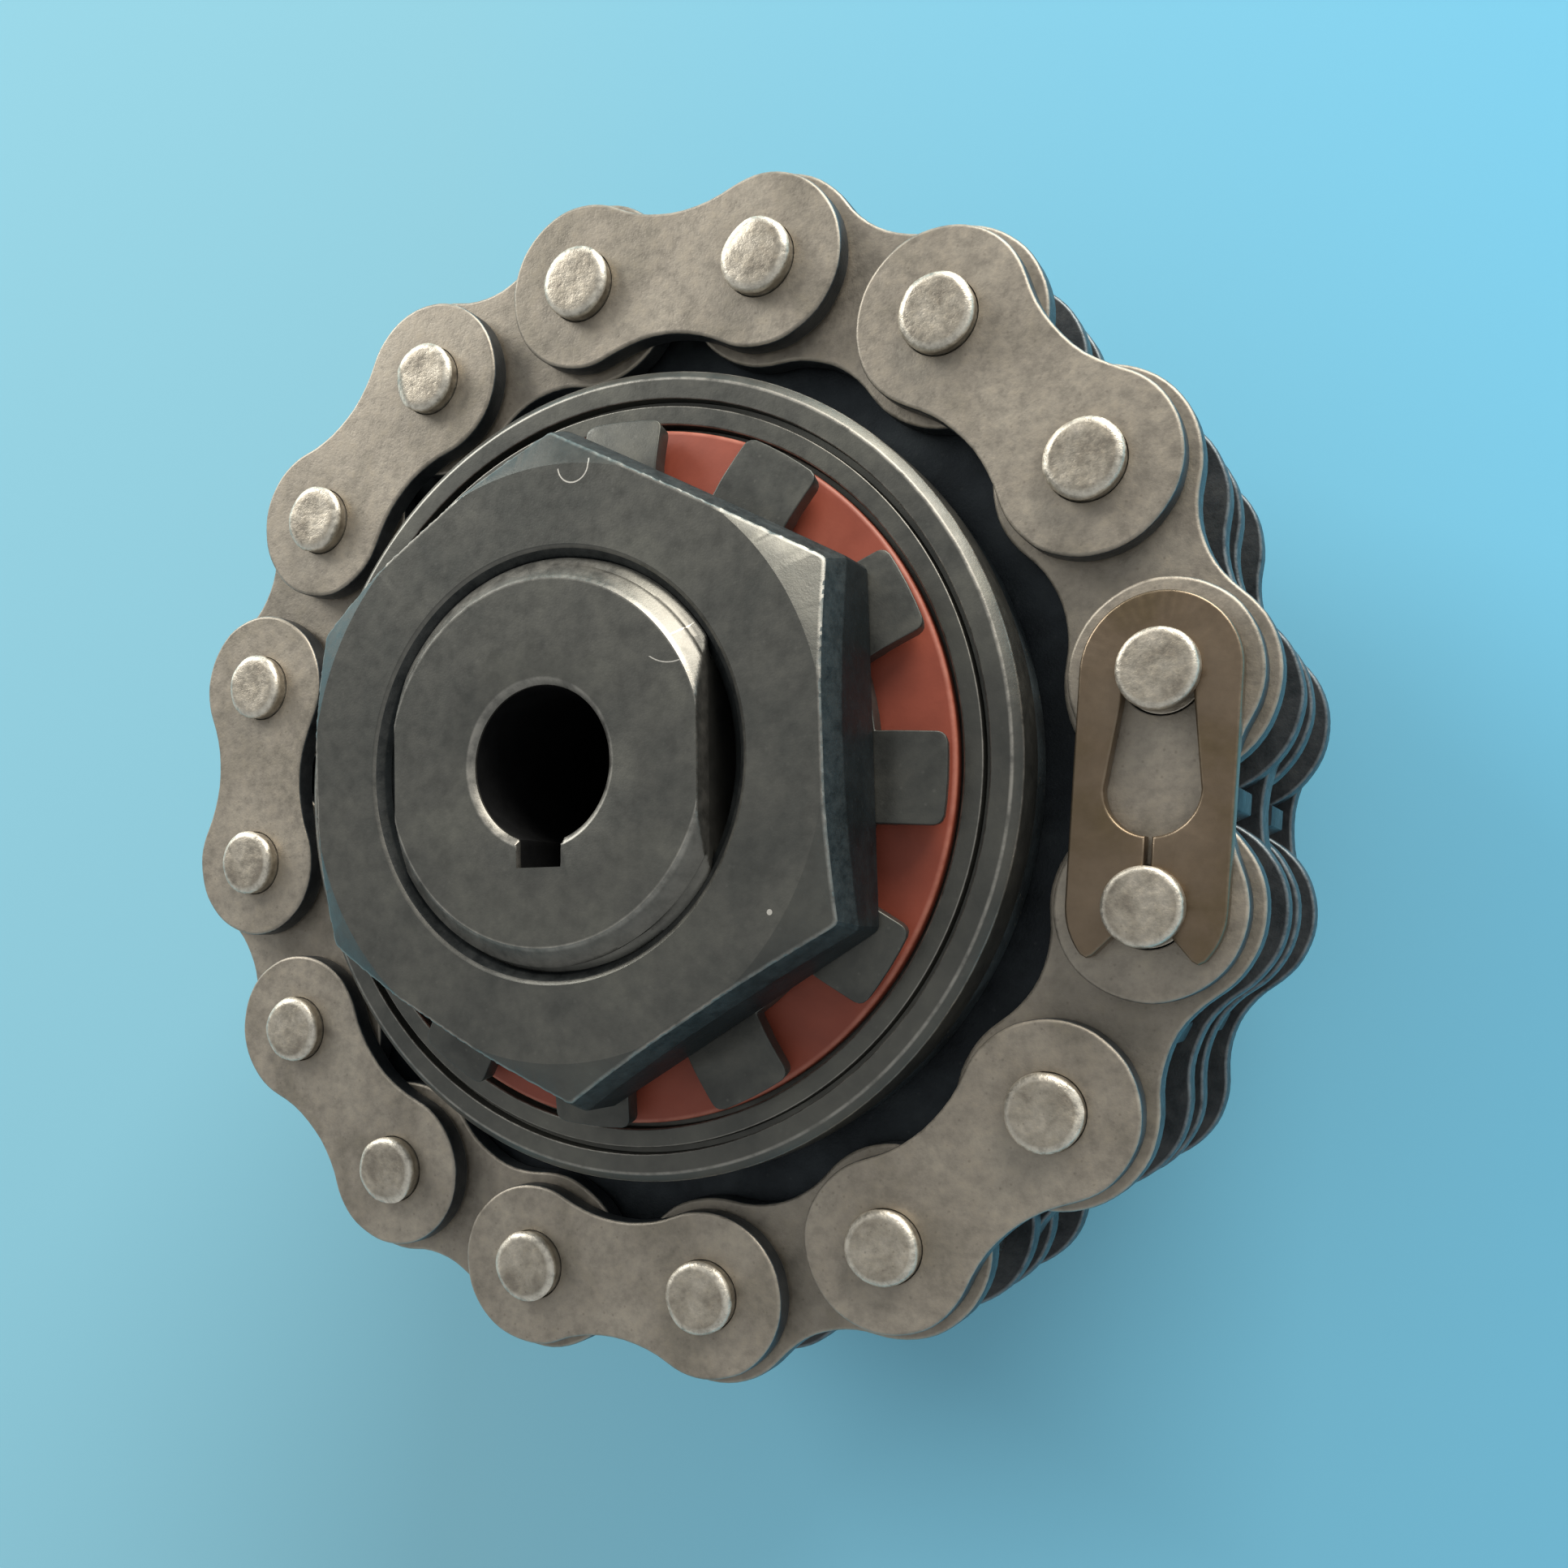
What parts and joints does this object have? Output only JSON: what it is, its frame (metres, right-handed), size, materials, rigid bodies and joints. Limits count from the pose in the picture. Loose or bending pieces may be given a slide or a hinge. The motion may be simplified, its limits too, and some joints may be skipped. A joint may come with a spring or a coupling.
{
  "type": "torque limiter",
  "caption": "Friction torque limiter with a chain coupling: a hub under a disc spring grips a sprocket between facings and slips at overload.",
  "frame": {"origin": "centre of the rear boss's end face, on the shaft axis, where the part stands", "axes": "+Z along the shaft axis from the rear boss to the adjusting nut, -Y towards the key seat of the hub"},
  "size_m": [0.0764, 0.0764, 0.0551],
  "materials": {
    "blued_steel": "black oxide on turned steel, satin",
    "blued_washer_steel": "black oxide on stamped spring steel, satin",
    "sprocket_steel": "black oxide on hobbed steel, oiled",
    "chain_plate_steel": "blanked, tumbled and oiled steel, mottled",
    "chain_pin_steel": "ground steel, oiled",
    "chain_roller_steel": "tumbled steel, oiled",
    "clip_steel": "tempered spring steel, brown satin",
    "red_painted_spring": "red primer on spring steel, matt",
    "friction_lining": "pressed friction lining, matt",
    "sintered_bronze": "sintered bearing bronze, oiled",
    "set_screw_steel": "black oxide on hardened steel"
  },
  "bodies": {
    "driven_side": {"coupling_sprocket": "sprocket_steel", "set_screws": "set_screw_steel", "hub_bush": "sintered_bronze", "driven_sprocket": "sprocket_steel", "inner_link_1": "chain_plate_steel", "inner_link_2": "chain_plate_steel", "inner_link_3": "chain_plate_steel", "inner_link_4": "chain_plate_steel", "inner_link_5": "chain_plate_steel", "inner_link_6": "chain_plate_steel", "inner_link_7": "chain_plate_steel", "inner_link_8": "chain_plate_steel", "outer_link_1": "chain_plate_steel", "middle_plate_1": "chain_plate_steel", "outer_link_2": "chain_plate_steel", "middle_plate_2": "chain_plate_steel", "outer_link_3": "chain_plate_steel", "middle_plate_3": "chain_plate_steel", "outer_link_4": "chain_plate_steel", "middle_plate_4": "chain_plate_steel", "outer_link_5": "chain_plate_steel", "middle_plate_5": "chain_plate_steel", "outer_link_6": "chain_plate_steel", "middle_plate_6": "chain_plate_steel", "outer_link_7": "chain_plate_steel", "middle_plate_7": "chain_plate_steel", "connecting_pin_link": "chain_pin_steel", "connecting_middle_plate": "chain_plate_steel", "connecting_side_plate": "chain_plate_steel", "spring_clip": "clip_steel"},
    "hub_side": {"hub": "blued_steel", "rear_facing": "friction_lining", "front_facing": "friction_lining", "pressure_plate": "blued_steel", "disc_spring": "red_painted_spring"},
    "washer": {"lock_washer": "blued_washer_steel"},
    "nut": {"adjusting_nut": "blued_steel"},
    "roller_01": {"roller_pair_01": "chain_roller_steel"},
    "roller_02": {"roller_pair_02": "chain_roller_steel"},
    "roller_03": {"roller_pair_03": "chain_roller_steel"},
    "roller_04": {"roller_pair_04": "chain_roller_steel"},
    "roller_05": {"roller_pair_05": "chain_roller_steel"},
    "roller_06": {"roller_pair_06": "chain_roller_steel"},
    "roller_07": {"roller_pair_07": "chain_roller_steel"},
    "roller_08": {"roller_pair_08": "chain_roller_steel"},
    "roller_09": {"roller_pair_09": "chain_roller_steel"},
    "roller_10": {"roller_pair_10": "chain_roller_steel"},
    "roller_11": {"roller_pair_11": "chain_roller_steel"},
    "roller_12": {"roller_pair_12": "chain_roller_steel"},
    "roller_13": {"roller_pair_13": "chain_roller_steel"},
    "roller_14": {"roller_pair_14": "chain_roller_steel"},
    "roller_15": {"roller_pair_15": "chain_roller_steel"},
    "roller_16": {"roller_pair_16": "chain_roller_steel"}
  },
  "joints": [
    {"name": "slip", "type": "hinge", "parent": "driven_side", "child": "hub_side", "pos_m": [0, 0, 0.03562], "axis": [0, 0, 1], "continuous": true},
    {"name": "washer_slide", "type": "slide", "parent": "hub_side", "child": "washer", "axis": [0, 0, 1], "range_m": [-0.00076, 0.00026], "deforming": ["disc_spring"]},
    {"name": "nut_turn", "type": "hinge", "parent": "washer", "child": "nut", "pos_m": [0, 0, 0.05085], "axis": [0, 0, 1], "range_deg": [-270, 90]},
    {"name": "roller_spin_01", "type": "hinge", "parent": "driven_side", "child": "roller_01", "pos_m": [0.03229, 0.00414, 0.02866], "axis": [0, 0, 1], "continuous": true},
    {"name": "roller_spin_02", "type": "hinge", "parent": "driven_side", "child": "roller_02", "pos_m": [0.02824, 0.01618, 0.02866], "axis": [0, 0, 1], "continuous": true},
    {"name": "roller_spin_03", "type": "hinge", "parent": "driven_side", "child": "roller_03", "pos_m": [0.0199, 0.02575, 0.02866], "axis": [0, 0, 1], "continuous": true},
    {"name": "roller_spin_04", "type": "hinge", "parent": "driven_side", "child": "roller_04", "pos_m": [0.00853, 0.03141, 0.02866], "axis": [0, 0, 1], "continuous": true},
    {"name": "roller_spin_05", "type": "hinge", "parent": "driven_side", "child": "roller_05", "pos_m": [-0.00414, 0.03229, 0.02866], "axis": [0, 0, 1], "continuous": true},
    {"name": "roller_spin_06", "type": "hinge", "parent": "driven_side", "child": "roller_06", "pos_m": [-0.01618, 0.02824, 0.02866], "axis": [0, 0, 1], "continuous": true},
    {"name": "roller_spin_07", "type": "hinge", "parent": "driven_side", "child": "roller_07", "pos_m": [-0.02575, 0.0199, 0.02866], "axis": [0, 0, 1], "continuous": true},
    {"name": "roller_spin_08", "type": "hinge", "parent": "driven_side", "child": "roller_08", "pos_m": [-0.03141, 0.00853, 0.02866], "axis": [0, 0, 1], "continuous": true},
    {"name": "roller_spin_09", "type": "hinge", "parent": "driven_side", "child": "roller_09", "pos_m": [-0.03229, -0.00414, 0.02866], "axis": [0, 0, 1], "continuous": true},
    {"name": "roller_spin_10", "type": "hinge", "parent": "driven_side", "child": "roller_10", "pos_m": [-0.02824, -0.01618, 0.02866], "axis": [0, 0, 1], "continuous": true},
    {"name": "roller_spin_11", "type": "hinge", "parent": "driven_side", "child": "roller_11", "pos_m": [-0.0199, -0.02575, 0.02866], "axis": [0, 0, 1], "continuous": true},
    {"name": "roller_spin_12", "type": "hinge", "parent": "driven_side", "child": "roller_12", "pos_m": [-0.00853, -0.03141, 0.02866], "axis": [0, 0, 1], "continuous": true},
    {"name": "roller_spin_13", "type": "hinge", "parent": "driven_side", "child": "roller_13", "pos_m": [0.00414, -0.03229, 0.02866], "axis": [0, 0, 1], "continuous": true},
    {"name": "roller_spin_14", "type": "hinge", "parent": "driven_side", "child": "roller_14", "pos_m": [0.01618, -0.02824, 0.02866], "axis": [0, 0, 1], "continuous": true},
    {"name": "roller_spin_15", "type": "hinge", "parent": "driven_side", "child": "roller_15", "pos_m": [0.02575, -0.0199, 0.02866], "axis": [0, 0, 1], "continuous": true},
    {"name": "roller_spin_16", "type": "hinge", "parent": "driven_side", "child": "roller_16", "pos_m": [0.03141, -0.00853, 0.02866], "axis": [0, 0, 1], "continuous": true}
  ],
  "couplings": [
    {"joint": "washer_slide", "follows": "nut_turn", "m_per_rad": 0.00015915}
  ]
}
